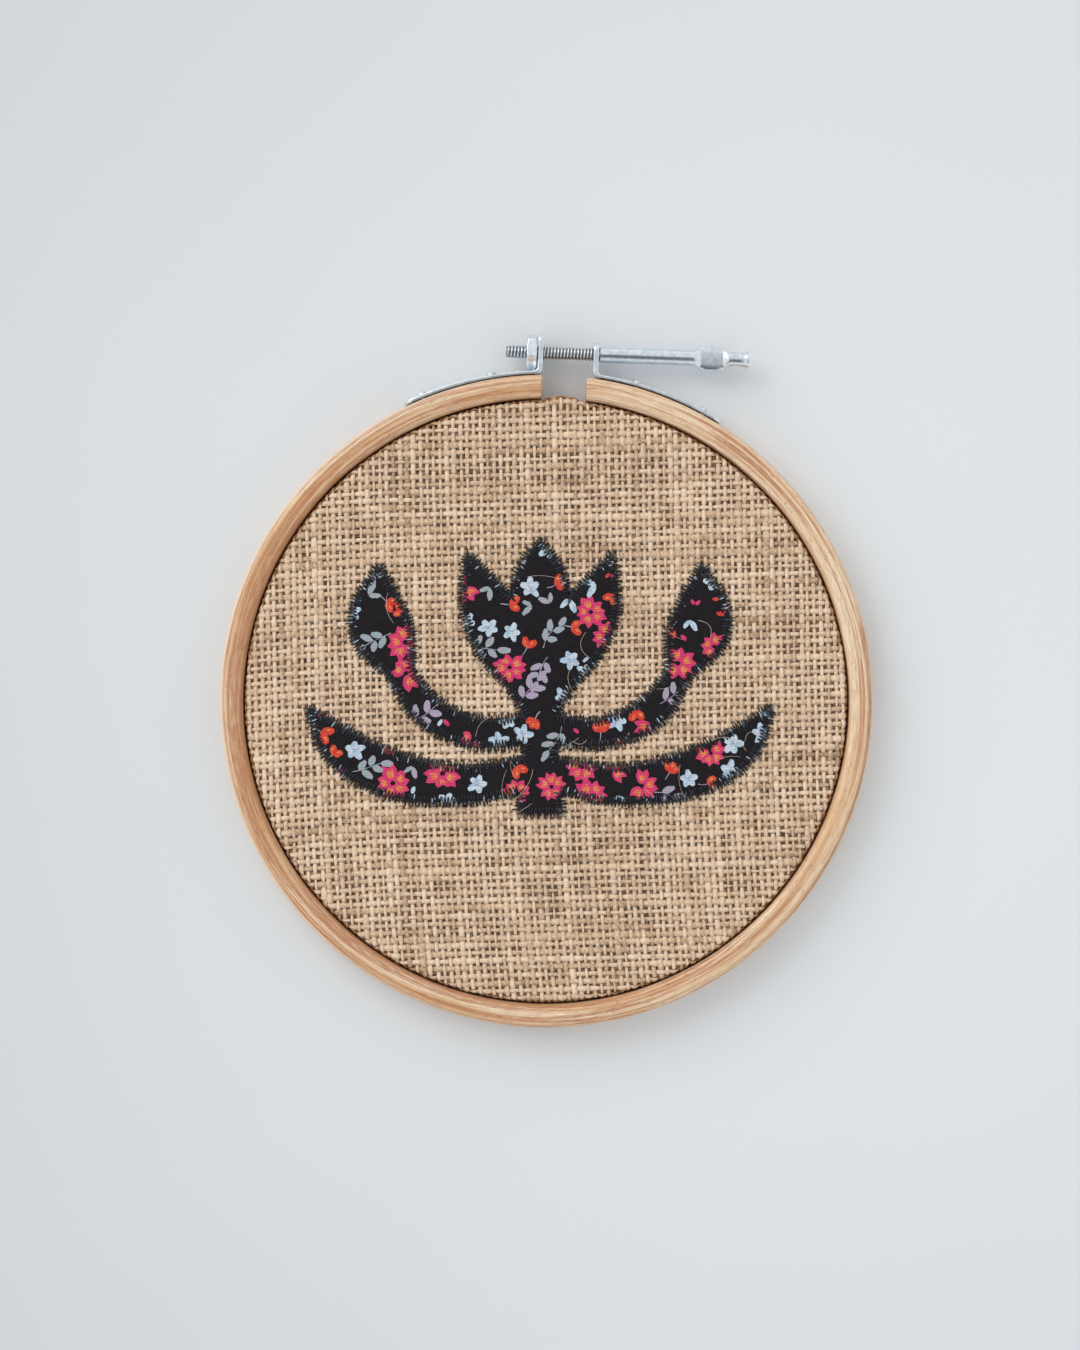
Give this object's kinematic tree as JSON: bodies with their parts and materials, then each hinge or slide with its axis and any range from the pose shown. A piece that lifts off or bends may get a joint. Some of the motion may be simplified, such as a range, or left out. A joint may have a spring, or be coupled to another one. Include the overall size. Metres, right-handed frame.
{
  "type": "hoop embroidery art in a wooden screw hoop",
  "caption": "Burlap stretched in a split wooden screw hoop with steel brackets, nut and screw, carrying a dark floral cotton applique of a tulip with buds and leaves, edged in zigzag.",
  "frame": {"origin": "middle of the base of the whole object's box, which lies on its back", "axes": "+Z out of the cloth's face, +Y from the hoop to its screw, +X along the screw to its flat head"},
  "size_m": [0.156, 0.166, 0.0103],
  "materials": {
    "beech_wood": "sanded, no varnish",
    "burlap": "plain woven jute, natural colour",
    "floral_cotton": "plain cotton printed with small flowers",
    "zinc_steel": "zinc plated"
  },
  "bodies": {
    "hoop": {"outer_ring": "beech_wood", "inner_ring": "beech_wood", "burlap": "burlap", "applique": "floral_cotton", "bracket_left": "zinc_steel", "bracket_right": "zinc_steel", "rivet_left_inner": "zinc_steel", "rivet_left_outer": "zinc_steel", "rivet_right_inner": "zinc_steel", "rivet_right_outer": "zinc_steel", "nut": "zinc_steel"},
    "screw": {"screw": "zinc_steel"}
  },
  "joints": [
    {"name": "screw_turn", "type": "hinge", "parent": "hoop", "child": "screw", "pos_m": [0.0016, 0.07855, 0.00475], "axis": [1, 0, 0], "continuous": true}
  ]
}
